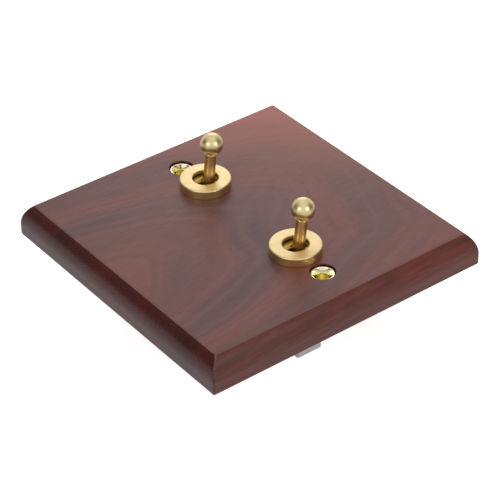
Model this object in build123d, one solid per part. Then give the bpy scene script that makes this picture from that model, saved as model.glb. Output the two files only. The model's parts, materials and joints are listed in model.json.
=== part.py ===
"""Double toggle light switch on a square walnut plate, in millimetres.

The switch lies face up. The origin is midway between the two fixing holes, on the plate's back face.
X runs along the line of the fixings and the toggles, Y is the way that the levers swing, and +Z
points out of the face.
Each toggle is a changeover switch: the lever's sprung plunger tips a rocker from one fixed contact
to the other.
"""

import os
from math import asin, cos, degrees, radians, sin, sqrt, tan

from build123d import *

# Plate: a vertical edge, then an arc that meets the flat face at a soft crease
plate_side = 86.0
plate_thickness = 9.5
plate_edge_height = 3.2
plate_edge_radius = 8.0
plate_crease_radius = 0.6
plate_foot_ease = 0.5
plate_corner_ease = 0.5
panel_thickness = 4.5
pocket_corner_radius = 4.0

# Layout of the fixings and toggles along X, in a row a little above the plate's middle
fixing_spacing = 60.3
toggle_spacing = 38.5
row_offset = 1.0

# Eyelets: flared cups that the fixing screws pass through
eyelet_rim_radius = 3.1
eyelet_rim_thickness = 0.5
eyelet_rim_width = 0.45
eyelet_rim_chamfer = 0.18
eyelet_flare_depth = 1.5
eyelet_bore_radius = 1.95
eyelet_wall = 0.45
eyelet_recess = 0.55
eyelet_gap = 0.3

# Ring nut
nut_radius = 6.9
nut_height = 2.6
nut_lip_thickness = 0.9
nut_opening_radius = 3.5
nut_spigot_wall = 0.75
nut_spigot_length = 2.0
nut_edge_chamfer = 0.3
nut_opening_chamfer = 0.25

# Bushing and pivot
bushing_radius = 4.95
bushing_below_lip = 0.4
bushing_bore_radius = 3.5
bushing_cap_thickness = 1.2
bushing_slot_side_gap = 0.15
bushing_slot_end_gap = 0.35
bushing_slot_corner = 0.4
bushing_slot_chamfer = 0.5
bushing_skirt_below_pivot = 2.5
bushing_flange_length = 13.0
bushing_flange_thickness = 1.0
bushing_chamfer = 0.4
keyway_width = 1.4
keyway_depth = 0.45
pivot_below_face = 7.5
pivot_pin_radius = 0.75

# Keyed washer
washer_width = 2.05
washer_thickness = 0.5
washer_tooth_root = 0.3

# Lever, measured along its own axis from the pivot
lever_tilt = 7.0
lever_reach = 19.8
ball_radius = 3.1
bead_radius = 1.75
bead_height = 0.5
stem_top_radius = 1.45
stem_radius = 1.65
stem_taper_end = 10.2
tang_thickness = 1.9
tang_shoulder_gap = 0.1
tang_foot_rise = 0.3
knuckle_clearance = 0.3
tail_wall = 0.8
tail_bore_radius = 1.5
tail_length = 9.0
tail_bore_roof = 1.6

# Plunger and its spring
spring_length = 4.0
spring_wire_radius = 0.2
spring_wire_sides = 6
spring_turns = 5
spring_side_clearance = 0.15

# Rocker
rocker_drop = 12.7
rocker_width = 4.4
rocker_arm_length = 6.8
rocker_arm_angle = 12.0
rocker_throw = 8.0
rocker_thickness = 1.2
rocker_crown = 0.8
trunnion_radius = 0.6
trunnion_end_stand = 0.1
trunnion_above_floor = 2.8
button_radius = 1.2
button_thickness = 0.5
button_from_end = 0.8

# Frame plate and case
frame_thickness = 1.0
case_width = 11.9
case_wall = 1.5
case_edge_radius = 0.6
leg_thickness = 0.8
leg_width = 4.0
leg_from_end = 6.0
leg_fold = 2.0
nose_width = 8.0
nose_depth = 5.0
partition_thickness = 0.8
rocker_end_clearance = 0.6

# Terminals
wire_bore_radius = 1.6
wire_entry_flare = 0.6
block_wall = 0.8
line_block_width = 7.0
line_block_height = 5.5
bore_to_screw_face = 2.8
tongue_width = 3.0
tongue_thickness = 0.8
tongue_root = 0.5
ear_thickness = 0.8
ear_side_clearance = 0.6
ear_radius = 2.0
bracket_foot = 1.0
bore_roof = 1.0
screw_radius = 1.2
screw_head_radius = 1.7
screw_head_height = 1.2
screw_slot_width = 0.5
screw_slot_depth = 0.6
screw_backed_off = 0.1
screw_line_above_floor = 2.9

# Clearances between pieces
running_clearance = 0.05
seat_clearance = 0.1
contact_gap = 0.3
plunger_gap = 0.26
plate_hole_clearance = 0.2
pocket_clearance = 1.2
pocket_end_clearance = 2.0

# Heights that follow from the sizes above
pocket_floor = plate_thickness - panel_thickness
frame_top = pocket_floor - washer_thickness
case_top = frame_top - frame_thickness
nut_top = plate_thickness + nut_height
nut_lip_bottom = nut_top - nut_lip_thickness
bushing_top = nut_lip_bottom - bushing_below_lip
pivot_height = plate_thickness - pivot_below_face
rocker_height = pivot_height - rocker_drop
cavity_floor = rocker_height - trunnion_above_floor
case_bottom = cavity_floor - case_wall
nose_bottom = case_bottom - nose_depth
upper_cavity_floor = cavity_floor + line_block_height + 2 * seat_clearance

# Lengths along Y that follow, from the rocker out to the ends of the case
rocker_well_end = rocker_arm_length + rocker_end_clearance
partition_end = rocker_well_end + partition_thickness
line_block_inner = partition_end + seat_clearance
line_block_outer = line_block_inner + block_wall + wire_bore_radius + bore_to_screw_face
line_bore_offset = line_block_outer - bore_to_screw_face
case_length = 2 * (line_block_outer + seat_clearance + case_wall)
leg_offset = case_length / 2 - leg_from_end
common_block_width = nose_width - 2 * case_wall - 2 * seat_clearance
bracket_length = common_block_width + 2 * bracket_foot

# Widths along X and radii that follow
cavity_half_width = case_width / 2 - case_wall
bushing_skirt_radius = cavity_half_width - seat_clearance
knuckle_radius = bushing_bore_radius - knuckle_clearance
tail_radius = tail_bore_radius + tail_wall
ear_gap = rocker_width + 2 * ear_side_clearance
trunnion_length = ear_gap + 2 * ear_thickness + 2 * trunnion_end_stand
common_block_outer = cavity_half_width - seat_clearance
common_block_overhang = wire_bore_radius + block_wall
eyelet_flare_radius = eyelet_rim_radius - eyelet_rim_width
eyelet_counterbore_radius = eyelet_rim_radius + eyelet_gap
wire_entry_radius = wire_bore_radius + wire_entry_flare

lever_slope = radians(lever_tilt)
arm_slope = radians(rocker_arm_angle)
throw_slope = radians(rocker_throw)
bushing_slot_width = tang_thickness + 2 * bushing_slot_side_gap
bushing_slot_reach = (bushing_top - pivot_height) * tan(lever_slope) + stem_radius / cos(lever_slope)
bushing_slot_length = 2 * (bushing_slot_reach + bushing_slot_end_gap)


def upright(radius, low, high, x=0.0, y=0.0):
    """A cylinder along Z between two heights."""
    return Pos(x, y, (low + high) / 2) * Cylinder(radius, high - low)


def block(x_range, y_range, z_range):
    """A box between two corners."""
    centre = [(low + high) / 2 for low, high in (x_range, y_range, z_range)]
    sizes = [high - low for low, high in (x_range, y_range, z_range)]
    return Pos(*centre) * Box(*sizes)


def both_ways(reach):
    """A range that lies evenly about zero."""
    return (-reach, reach)


def turned(*points):
    """A solid turned about Z from a closed outline of (radius, height) points."""
    return revolve(make_face(Plane.XZ * Polyline(*points, close=True)), Axis.Z)


def plate_section():
    """The plate's section across its width, with both rounded edges."""
    side = plate_side / 2
    arc_angle = degrees(asin((plate_thickness - plate_edge_height) / plate_edge_radius))
    rounded = JernArc((side, plate_edge_height), (0, 1), plate_edge_radius, arc_angle)
    crease = rounded @ 1
    half = [
        Line((0, 0), (side - plate_foot_ease, 0)),
        Line((side - plate_foot_ease, 0), (side, plate_foot_ease)),
        Line((side, plate_foot_ease), (side, plate_edge_height)),
        rounded,
        Line(crease, (0, plate_thickness)),
    ]
    outline = Curve() + half + [mirror(edge, Plane.YZ) for edge in half]
    section = make_face(outline)
    creases = [v for v in section.vertices() if abs(v.Y - plate_thickness) < 1e-6 and abs(v.X) > side / 2]
    return fillet(creases, plate_crease_radius)


def plate():
    """The square plate: two crossed rounded bars, so that the corners are mitred."""
    section = plate_section()
    along_y = extrude(Plane.XZ * section, plate_side / 2, both=True)
    along_x = extrude(Plane.YZ * section, plate_side / 2, both=True)
    body = along_y & along_x
    mitres = [
        edge
        for edge in body.edges()
        if abs(abs(edge.center().X) - abs(edge.center().Y)) < 1e-4
        and (edge @ 0).Z + (edge @ 1).Z > 3 * plate_foot_ease
    ]
    body = Pos(Y=-row_offset) * fillet(mitres, plate_corner_ease)

    pocket_x = toggle_spacing + case_width + 2 * pocket_clearance
    pocket_y = case_length + 2 * pocket_end_clearance
    body -= extrude(RectangleRounded(pocket_x, pocket_y, pocket_corner_radius), pocket_floor)
    for x in both_ways(toggle_spacing / 2):
        body -= upright(bushing_radius + plate_hole_clearance, 0, plate_thickness, x)
        spigot_hole = nut_spigot_radius() + seat_clearance
        body -= upright(spigot_hole, plate_thickness - nut_spigot_length, plate_thickness, x)
    for x in both_ways(fixing_spacing / 2):
        body -= upright(eyelet_bore_radius + eyelet_wall + running_clearance, 0, plate_thickness, x)
        body -= upright(eyelet_counterbore_radius, eyelet_seat(), plate_thickness, x)
    return body


def eyelet_seat():
    """Height of the counterbore floor that the eyelet's rim sits on."""
    return plate_thickness - eyelet_recess - eyelet_rim_thickness


def eyelet(x):
    """A turned cup: flat rim, conical flare, then a tube through the plate."""
    seat = eyelet_seat()
    top = seat + eyelet_rim_thickness
    tube_radius = eyelet_bore_radius + eyelet_wall
    cup = turned(
        (eyelet_bore_radius, 0),
        (tube_radius, 0),
        (tube_radius, seat),
        (eyelet_rim_radius, seat),
        (eyelet_rim_radius, top),
        (eyelet_flare_radius, top),
        (eyelet_bore_radius, top - eyelet_flare_depth),
    )
    rim = cup.edges().filter_by(GeomType.CIRCLE).group_by(Axis.Z)[-1]
    return Pos(X=x) * chamfer(rim, eyelet_rim_chamfer)


def nut_spigot_radius():
    """Outside of the nut's spigot, which fills the step in the plate's hole."""
    return bushing_radius + running_clearance * 2 + nut_spigot_wall


def ring_nut(x):
    """The ring on the face: a lipped cap with a threaded spigot down into the plate."""
    thread = bushing_radius + 2 * running_clearance
    spigot_bottom = plate_thickness - nut_spigot_length
    ring = turned(
        (thread, spigot_bottom),
        (nut_spigot_radius(), spigot_bottom),
        (nut_spigot_radius(), plate_thickness),
        (nut_radius, plate_thickness),
        (nut_radius, nut_top),
        (nut_opening_radius, nut_top),
        (nut_opening_radius, nut_lip_bottom),
        (thread, nut_lip_bottom),
    )
    top_edges = ring.edges().filter_by(GeomType.CIRCLE).group_by(Axis.Z)[-1].sort_by(SortBy.RADIUS)
    ring = chamfer(top_edges[-1], nut_edge_chamfer)
    opening = ring.edges().filter_by(GeomType.CIRCLE).group_by(Axis.Z)[-1].sort_by(SortBy.RADIUS)[0]
    return Pos(X=x) * chamfer(opening, nut_opening_chamfer)


def washer(x):
    """A flat washer whose inner tooth keys into the bushing."""
    inner = bushing_radius + 2 * running_clearance
    ring = upright(bushing_radius + washer_width, frame_top, pocket_floor)
    ring -= upright(inner, frame_top, pocket_floor)
    tooth_width = keyway_width - 2 * seat_clearance
    tooth_tip = bushing_radius - keyway_depth + seat_clearance
    tooth_y = (-inner - washer_tooth_root, -tooth_tip)
    tooth = block(both_ways(tooth_width / 2), tooth_y, (frame_top, pocket_floor))
    return Pos(X=x) * (ring + tooth)


def bushing(x):
    """The threaded bushing: slotted cap, keyway, frame flange and a skirt with the pin holes."""
    skirt_bottom = pivot_height - bushing_skirt_below_pivot
    barrel = upright(bushing_radius, case_top, bushing_top)
    barrel = chamfer(barrel.edges().filter_by(GeomType.CIRCLE).group_by(Axis.Z)[-1], bushing_chamfer)
    body = barrel + upright(bushing_skirt_radius, skirt_bottom, case_top)
    flange_x = both_ways(cavity_half_width - seat_clearance)
    flange_low = case_top - bushing_flange_thickness
    body += block(flange_x, both_ways(bushing_flange_length / 2), (flange_low, case_top))
    body -= upright(bushing_bore_radius, skirt_bottom, bushing_top - bushing_cap_thickness)
    slot = RectangleRounded(bushing_slot_width, bushing_slot_length, bushing_slot_corner)
    body -= Pos(Z=bushing_top - 2 * bushing_cap_thickness) * extrude(slot, 3 * bushing_cap_thickness)
    top_edges = body.edges().group_by(Axis.Z)[-1]
    mouth = [edge for edge in top_edges if edge.bounding_box().max.X < bushing_slot_width]
    body = chamfer(mouth, bushing_slot_chamfer)
    keyway_y = (-bushing_radius - keyway_depth, -bushing_radius + keyway_depth)
    body -= block(both_ways(keyway_width / 2), keyway_y, (frame_top, bushing_top))
    body -= Pos(Z=pivot_height) * Rot(Y=90) * Cylinder(pivot_pin_radius, case_width)
    return Pos(X=x) * body


def pivot_pin(x):
    """The pin that the lever swings on, pressed across the bushing's skirt."""
    pin = Cylinder(pivot_pin_radius, 2 * bushing_skirt_radius)
    return Pos(x, 0, pivot_height) * Rot(Y=90) * pin


def on_lever(x, shape):
    """Tilts what was drawn upright about the pivot, and puts it at its toggle."""
    return Pos(x, 0, pivot_height) * Rot(X=-lever_tilt) * shape


def tang_end():
    """Where the stem's flats end along the lever, so that the shoulder just clears the bushing's top."""
    shoulder = bushing_top - pivot_height + tang_shoulder_gap
    return (shoulder + stem_radius * sin(lever_slope)) / cos(lever_slope)


def lever(x):
    """The lever, turned in one piece: ball, bead, stem, knuckle and hollow tail, with two flats milled
    on the stem where it passes the bushing's slot."""
    ball_foot = lever_reach - sqrt(ball_radius**2 - bead_radius**2)
    bead_foot = ball_foot - bead_height
    knuckle_top = sqrt(knuckle_radius**2 - stem_radius**2)
    knuckle_foot = -sqrt(knuckle_radius**2 - tail_radius**2)
    crown = lever_reach + ball_radius
    outline = Curve() + [
        Line((0, -tail_bore_roof), (0, crown)),
        ThreePointArc((0, crown), (ball_radius, lever_reach), (bead_radius, ball_foot)),
        Line((bead_radius, ball_foot), (bead_radius, bead_foot)),
        Line((bead_radius, bead_foot), (stem_top_radius, bead_foot)),
        Line((stem_top_radius, bead_foot), (stem_radius, stem_taper_end)),
        Line((stem_radius, stem_taper_end), (stem_radius, knuckle_top)),
        ThreePointArc((stem_radius, knuckle_top), (knuckle_radius, 0), (tail_radius, knuckle_foot)),
        Line((tail_radius, knuckle_foot), (tail_radius, -tail_length)),
        Line((tail_radius, -tail_length), (tail_bore_radius, -tail_length)),
        Line((tail_bore_radius, -tail_length), (tail_bore_radius, -tail_bore_roof)),
        Line((tail_bore_radius, -tail_bore_roof), (0, -tail_bore_roof)),
    ]
    body = revolve(make_face(Plane.XZ * outline), Axis.Z)
    body -= Rot(Y=90) * Cylinder(pivot_pin_radius + running_clearance, 3 * knuckle_radius)
    flats_z = (knuckle_top + tang_foot_rise, tang_end())
    for side in (-1, 1):
        flat_x = sorted((side * tang_thickness / 2, side * 2 * stem_radius))
        body -= block(flat_x, both_ways(2 * stem_radius), flats_z)
    return on_lever(x, body)


def plunger_radius():
    """The plunger runs in the lever's tail."""
    return tail_bore_radius - running_clearance


def plunger_tip():
    """How far below the pivot the plunger's tip ends, just clear of the rocker's valley."""
    dome = plunger_radius()
    return rocker_drop - rocker_crown - (dome + plunger_gap) / cos(arm_slope) + dome


def plunger(x):
    """The domed plunger that pushes the rocker over."""
    dome = plunger_radius()
    dome_centre = -plunger_tip() + dome
    top = -tail_bore_roof - spring_length
    side = sin(radians(45)) * dome
    outline = Curve() + [
        ThreePointArc((0, dome_centre - dome), (side, dome_centre - side), (dome, dome_centre)),
        Line((dome, dome_centre), (dome, top)),
        Line((dome, top), (0, top)),
        Line((0, top), (0, dome_centre - dome)),
    ]
    return on_lever(x, revolve(make_face(Plane.XZ * outline), Axis.Z))


def plunger_spring(x):
    """The coil spring between the plunger and the roof of the tail's bore."""
    coil_radius = tail_bore_radius - spring_side_clearance - spring_wire_radius
    rise = spring_length - 2 * spring_wire_radius
    coil = Helix(rise / spring_turns, rise, coil_radius)
    wire = Plane(origin=coil @ 0, z_dir=coil % 0) * RegularPolygon(spring_wire_radius, spring_wire_sides)
    spring = sweep(wire, path=coil)
    bottom = -tail_bore_roof - spring_length + spring_wire_radius
    return on_lever(x, Pos(Z=bottom) * spring)


def on_rocker(x, shape):
    """Tips what was drawn level about the trunnions, and puts it at its toggle."""
    return Pos(x, 0, rocker_height) * Rot(X=rocker_throw) * shape


def rocker(x):
    """The bent rocker bar, with its two trunnions."""
    end_y = rocker_arm_length * cos(arm_slope)
    end_z = rocker_crown + rocker_arm_length * sin(arm_slope)
    drop_y = rocker_thickness * sin(arm_slope)
    drop_z = rocker_thickness * cos(arm_slope)
    bar = Polyline(
        (0, rocker_crown),
        (end_y, end_z),
        (end_y + drop_y, end_z - drop_z),
        (0, rocker_crown - rocker_thickness / cos(arm_slope)),
        (-end_y - drop_y, end_z - drop_z),
        (-end_y, end_z),
        close=True,
    )
    body = extrude(make_face(Plane.YZ * bar), rocker_width / 2, both=True)
    body += Rot(Y=90) * Cylinder(trunnion_radius, trunnion_length)
    return on_rocker(x, body)


def rocker_button_centre():
    """Centre of a contact button's lower face, on the arm towards +Y of a level rocker."""
    below = rocker_thickness + button_thickness
    along = rocker_arm_length - button_from_end
    y = along * cos(arm_slope) + below * sin(arm_slope)
    z = rocker_crown + along * sin(arm_slope) - below * cos(arm_slope)
    return y, z


def rocker_buttons(x):
    """The contact button under each arm."""
    y, z = rocker_button_centre()
    button = Pos(Z=button_thickness / 2) * Cylinder(button_radius, button_thickness)
    front = Pos(0, -y, z) * Rot(X=-rocker_arm_angle) * button
    back = Pos(0, y, z) * Rot(X=rocker_arm_angle) * button
    return on_rocker(x, Part() + [front, back])


def fixed_button_place():
    """Distance from the toggle and height of the top of each fixed contact."""
    y, z = rocker_button_centre()
    closed_y = y * cos(throw_slope) + z * sin(throw_slope)
    closed_z = z * cos(throw_slope) - y * sin(throw_slope)
    return closed_y, rocker_height + closed_z - contact_gap


def fixed_buttons(x):
    """The two fixed contacts that the rocker's buttons meet in turn."""
    y, top = fixed_button_place()
    pair = [upright(button_radius, top - button_thickness, top, x, side) for side in both_ways(y)]
    return Part() + pair


def line_screw_height():
    """Height of the clamp screws of the two line terminals."""
    return cavity_floor + screw_line_above_floor


def line_terminal(x, side):
    """A pillar block that clamps a wire from below, and its tongue under the rocker's arm."""
    top = cavity_floor + line_block_height
    block_y = (line_block_inner, line_block_outer)
    body = block(both_ways(line_block_width / 2), block_y, (cavity_floor, top))
    button_y, button_top = fixed_button_place()
    tongue_top = button_top - button_thickness
    tongue_y = (button_y - button_radius, line_block_inner + tongue_root)
    body += block(both_ways(tongue_width / 2), tongue_y, (tongue_top - tongue_thickness, tongue_top))
    body -= upright(wire_bore_radius, cavity_floor, top - bore_roof, 0, line_bore_offset)
    screw_hole = Cylinder(screw_radius + running_clearance, 2 * bore_to_screw_face)
    body -= Pos(0, line_block_outer, line_screw_height()) * Rot(X=90) * screw_hole
    turn = 0 if side > 0 else 180
    return Pos(X=x) * Rot(Z=turn) * body


def common_screw_height():
    """Height of the common terminal's clamp screw, half way down its block."""
    return (cavity_floor + nose_bottom + case_wall) / 2


def common_terminal(x, inner_side):
    """A bracket whose ears carry the rocker, with a pillar block below it in the case's nose."""
    base_top = cavity_floor + ear_thickness
    ear_outer = ear_gap / 2 + ear_thickness
    body = block(both_ways(ear_outer), both_ways(bracket_length / 2), (cavity_floor, base_top))
    ear_shape = block(both_ways(ear_outer), both_ways(ear_radius), (cavity_floor, rocker_height))
    ear_shape += Pos(Z=rocker_height) * Rot(Y=90) * Cylinder(ear_radius, 2 * ear_outer)
    gap_z = (base_top, rocker_height + 2 * ear_radius)
    ear_shape -= block(both_ways(ear_gap / 2), both_ways(2 * ear_radius), gap_z)
    body += ear_shape
    body -= Pos(Z=rocker_height) * Rot(Y=90) * Cylinder(trunnion_radius + running_clearance, case_width)
    block_bottom = nose_bottom + case_wall + seat_clearance
    block_y = both_ways(common_block_width / 2)
    body += block((-common_block_overhang, common_block_outer), block_y, (block_bottom, cavity_floor))
    body -= upright(wire_bore_radius, block_bottom, cavity_floor - bore_roof)
    screw_hole = Rot(Y=90) * Cylinder(screw_radius + running_clearance, common_block_outer)
    body -= Pos(common_block_outer / 2, 0, common_screw_height()) * screw_hole
    turn = 0 if inner_side > 0 else 180
    return Pos(X=x) * Rot(Z=turn) * body


def clamp_screw(face):
    """A slotted cheese-head screw along +X. Its tip stops just short of the wire's bore."""
    tip = wire_bore_radius + screw_backed_off
    head_start = face + seat_clearance
    shank = Pos((tip + head_start) / 2) * Rot(Y=90) * Cylinder(screw_radius, head_start - tip)
    head_middle = head_start + screw_head_height / 2
    head = Pos(head_middle) * Rot(Y=90) * Cylinder(screw_head_radius, screw_head_height)
    head_end = head_start + screw_head_height
    slot_x = (head_end - screw_slot_depth, head_end)
    slot = block(slot_x, both_ways(screw_head_radius), both_ways(screw_slot_width / 2))
    return shank + (head - slot)


def terminal_screws(x, inner_side):
    """The three clamp screws of one switch, all backed off."""
    screws = []
    for side in (-1, 1):
        place = Pos(x, side * line_bore_offset, line_screw_height())
        screws.append(place * Rot(Z=90 * side) * clamp_screw(bore_to_screw_face))
    turn = 0 if inner_side > 0 else 180
    screws.append(Pos(x, 0, common_screw_height()) * Rot(Z=turn) * clamp_screw(common_block_outer))
    return Part() + screws


def frame(x):
    """The steel plate over the case, whose four legs fold under the case's floor."""
    half_width = case_width / 2
    body = block(both_ways(half_width), both_ways(case_length / 2), (case_top, frame_top))
    body -= upright(bushing_radius + running_clearance, case_top, frame_top)
    fold_bottom = case_bottom - leg_thickness
    for y in both_ways(leg_offset):
        leg_y = (y - leg_width / 2, y + leg_width / 2)
        for side in (-1, 1):
            outer = side * half_width
            inner = side * (half_width - leg_thickness)
            toe = side * (half_width - leg_fold)
            body += block(sorted((inner, outer)), leg_y, (fold_bottom, case_top))
            body += block(sorted((toe, outer)), leg_y, (fold_bottom, case_bottom))
    return Pos(X=x) * body


def case(x, inner_side):
    """The moulded case: one open box with wells for the rocker and terminals, and a nose below."""
    half_width = case_width / 2
    half_length = case_length / 2
    body = block(both_ways(half_width), both_ways(half_length), (case_bottom, case_top))
    body = fillet(body.edges().filter_by(Axis.Z), case_edge_radius)
    nose = block(both_ways(half_width), both_ways(nose_width / 2), (nose_bottom, case_bottom))
    body += fillet(nose.edges().filter_by(Axis.Z) + nose.edges().group_by(Axis.Z)[0], case_edge_radius)

    cavity_x = both_ways(cavity_half_width)
    body -= block(cavity_x, both_ways(half_length - case_wall), (upper_cavity_floor, case_top))
    body -= block(cavity_x, both_ways(rocker_well_end), (cavity_floor, case_top))
    well_z = (cavity_floor, upper_cavity_floor)
    block_side = line_block_width / 2 + seat_clearance
    access = screw_head_radius + 2 * seat_clearance
    for side in (-1, 1):
        far = side * (half_length - case_wall)
        near = side * partition_end
        body -= block(both_ways(block_side), sorted((near, far)), well_z)
        slot_x = both_ways(tongue_width / 2 + seat_clearance)
        body -= block(slot_x, sorted((side * rocker_well_end / 2, near)), well_z)
        body -= upright(wire_entry_radius, case_bottom, cavity_floor, 0, side * line_bore_offset)
        access_hole = Rot(X=90) * Cylinder(access, 2 * case_wall)
        body -= Pos(0, side * half_length, line_screw_height()) * access_hole

    recess_x = half_width - leg_thickness - running_clearance
    for y in both_ways(leg_offset):
        recess_y = (y - leg_width / 2 - seat_clearance, y + leg_width / 2 + seat_clearance)
        for side in (-1, 1):
            recess = sorted((side * recess_x, side * (half_width + leg_thickness)))
            body -= block(recess, recess_y, (case_bottom, case_top))

    nose_floor = nose_bottom + case_wall
    well_end = -inner_side * (common_block_overhang + seat_clearance)
    well_x = sorted((well_end, inner_side * cavity_half_width))
    well_y = both_ways(common_block_width / 2 + seat_clearance)
    body -= block(well_x, well_y, (nose_floor, cavity_floor))
    body -= upright(wire_entry_radius, nose_bottom, nose_floor)
    nose_access = Rot(Y=90) * Cylinder(access, 2 * case_wall)
    body -= Pos(inner_side * half_width, 0, common_screw_height()) * nose_access
    return Pos(X=x) * body


def switch_pieces(x, inner_side):
    """Every piece of one toggle and its mechanism, by name."""
    return {
        "ring_nut": ring_nut(x),
        "washer": washer(x),
        "bushing": bushing(x),
        "pivot_pin": pivot_pin(x),
        "lever": lever(x),
        "plunger": plunger(x),
        "plunger_spring": plunger_spring(x),
        "rocker": rocker(x),
        "rocker_buttons": rocker_buttons(x),
        "frame": frame(x),
        "case": case(x, inner_side),
        "common_terminal": common_terminal(x, inner_side),
        "front_terminal": line_terminal(x, -1),
        "back_terminal": line_terminal(x, 1),
        "fixed_buttons": fixed_buttons(x),
        "terminal_screws": terminal_screws(x, inner_side),
    }


def main():
    pieces = {"plate": plate()}
    for side_name, side in (("left", -1), ("right", 1)):
        pieces[f"{side_name}_eyelet"] = eyelet(side * fixing_spacing / 2)
        for name, shape in switch_pieces(side * toggle_spacing / 2, -side).items():
            pieces[f"{side_name}_{name}"] = shape
    os.makedirs("parts", exist_ok=True)
    for name, shape in pieces.items():
        export_step(shape, f"parts/{name}.step")


main()
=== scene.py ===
# %% [markdown]
# # A walnut switch plate with two brass toggles
#
# The solids of this switch come from a CAD model: a square plate, two levers in ring nuts, two screw
# eyelets, and the mechanisms behind them. This lesson dresses them. The pieces that the eye rests on
# are made again as smooth surfaces worked out with numpy, and every finish is built from noise and
# arithmetic on the piece's own coordinates, so nothing depends on a picture or on an unwrapped mesh.

# %% Load the frame
import json

import bmesh
import bpy
import numpy as np
from mathutils import Matrix, Vector


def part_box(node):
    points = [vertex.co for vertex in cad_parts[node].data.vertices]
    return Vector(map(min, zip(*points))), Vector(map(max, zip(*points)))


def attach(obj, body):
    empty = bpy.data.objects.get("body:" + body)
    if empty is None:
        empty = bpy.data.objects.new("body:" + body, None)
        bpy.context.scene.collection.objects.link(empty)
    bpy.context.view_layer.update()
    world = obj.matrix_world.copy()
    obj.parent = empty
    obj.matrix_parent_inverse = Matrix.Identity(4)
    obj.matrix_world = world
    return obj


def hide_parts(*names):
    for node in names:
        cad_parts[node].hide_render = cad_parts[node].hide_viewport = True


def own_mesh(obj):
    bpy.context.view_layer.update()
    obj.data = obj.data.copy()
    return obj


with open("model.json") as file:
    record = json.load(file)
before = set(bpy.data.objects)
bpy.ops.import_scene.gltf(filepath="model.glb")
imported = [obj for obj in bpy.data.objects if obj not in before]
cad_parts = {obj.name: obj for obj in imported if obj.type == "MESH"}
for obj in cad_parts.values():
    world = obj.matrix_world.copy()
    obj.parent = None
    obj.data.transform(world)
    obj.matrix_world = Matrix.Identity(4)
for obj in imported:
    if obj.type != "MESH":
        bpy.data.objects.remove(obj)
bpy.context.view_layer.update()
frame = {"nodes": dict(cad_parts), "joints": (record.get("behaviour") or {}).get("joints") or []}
MM = 0.001
SIDES = ("left", "right")
print("CAD nodes:", len(frame["nodes"]))

# %% [markdown]
# ## What the CAD model tells us
#
# Every solid is a node with a box. The sizes and places that a new piece has to share with the solids are
# read from those boxes and not typed in again, so the pieces still fit when the solids change.


# %% Measure the CAD nodes
def box_mm(name):
    """The lowest and the highest corner of a CAD node's box, in millimetres."""
    return [np.array(corner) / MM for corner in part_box(name)]


def middle_x(name):
    """The x of the middle of a CAD node, in millimetres."""
    low, high = box_mm(name)
    return (low[0] + high[0]) / 2


PLATE_LOW, PLATE_HIGH = box_mm("plate")
TOGGLE_X = {side: middle_x(f"{side}_bushing") for side in SIDES}
EYELET_X = {side: middle_x(f"{side}_eyelet") for side in SIDES}
print("plate from", PLATE_LOW.round(2), "to", PLATE_HIGH.round(2), "mm")

# %% [markdown]
# ## The camera
#
# A photograph of a flat square tells us nearly everything about its camera. Four corners and a known
# width give the distance, the two angles and the lens. We write those down as a turn round the object,
# a height above it and a small roll, and build the camera's three axes from them by cross products.
# Doing it by hand, rather than with a tracking constraint, keeps the roll under our control.

# %% Find the camera's axes
AZIMUTH, ELEVATION, ROLL = np.radians([52.963, 35.959, -0.926])


def camera_axes():
    """Right, up and back of the camera. Back points from the object to the lens: (sin azimuth, -cos azimuth)
    times cos elevation, and sin elevation upwards. Level is at right angles to it and to the upright, and
    roll turns level and upright about back."""
    flat = np.array([np.sin(AZIMUTH), -np.cos(AZIMUTH), 0])
    back = flat * np.cos(ELEVATION) + np.array([0, 0, np.sin(ELEVATION)])
    level = np.cross(-back, [0, 0, 1])
    level /= np.linalg.norm(level)
    upright = np.cross(back, level)
    right = np.cos(ROLL) * level + np.sin(ROLL) * upright
    up = -np.sin(ROLL) * level + np.cos(ROLL) * upright
    return right, up, back


print("from the object to the lens:", camera_axes()[2].round(3))

# %% Place the camera
DISTANCE = 540.81 * MM
SIDE_STEP, RISE = 0.776 * MM, -0.361 * MM
LENS, SENSOR = 147.84, 36
NEAREST = 10 * MM


def place_camera():
    """A camera at the photograph's angle, set as the scene's own."""
    right, up, back = camera_axes()
    data = bpy.data.cameras.new("camera")
    data.lens = LENS
    data.sensor_width = SENSOR
    data.clip_start = NEAREST
    camera = bpy.data.objects.new("camera", data)
    bpy.context.scene.collection.objects.link(camera)
    foot = (PLATE_LOW + PLATE_HIGH) / 2 * [MM, MM, 0]
    place = foot + back * DISTANCE + right * SIDE_STEP + up * RISE
    turn = Matrix(np.stack([right, up, back], 1)).to_4x4()
    camera.matrix_world = Matrix.Translation(Vector(place)) @ turn
    bpy.context.scene.camera = camera
    return camera


camera = place_camera()
print("camera at", [round(part, 3) for part in camera.matrix_world.translation], "m")

# %% [markdown]
# ## Surfaces from a grid
#
# Every new piece is a surface with two parameters. One runs along an outline, the other carries that
# outline round an axis or a path. The positions come out of numpy as one array of rows and columns, and
# the faces join each point to its neighbours. A row that lies on the axis is a pole: its points coincide,
# so they are merged afterwards, and the normals are then turned outwards.


# %% Join a grid into faces
def grid_faces(rows, columns, closed_rows):
    """Four-sided faces of a grid whose columns always wrap round, and whose rows may. Point (row, column)
    has the number row * columns + column."""
    row_count = rows if closed_rows else rows - 1
    r, c = np.meshgrid(np.arange(row_count), np.arange(columns), indexing="ij")
    next_r, next_c = (r + 1) % rows, (c + 1) % columns
    corners = [r * columns + c, r * columns + next_c, next_r * columns + next_c, next_r * columns + c]
    return np.stack([corner.ravel() for corner in corners], 1).tolist()


print("3 rows of 4 points make", len(grid_faces(3, 4, False)), "faces, closed", len(grid_faces(3, 4, True)))

# %% Turn points into a mesh
SAME_POINT = 1e-7
NO_EDGE = 1e-8


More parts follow.
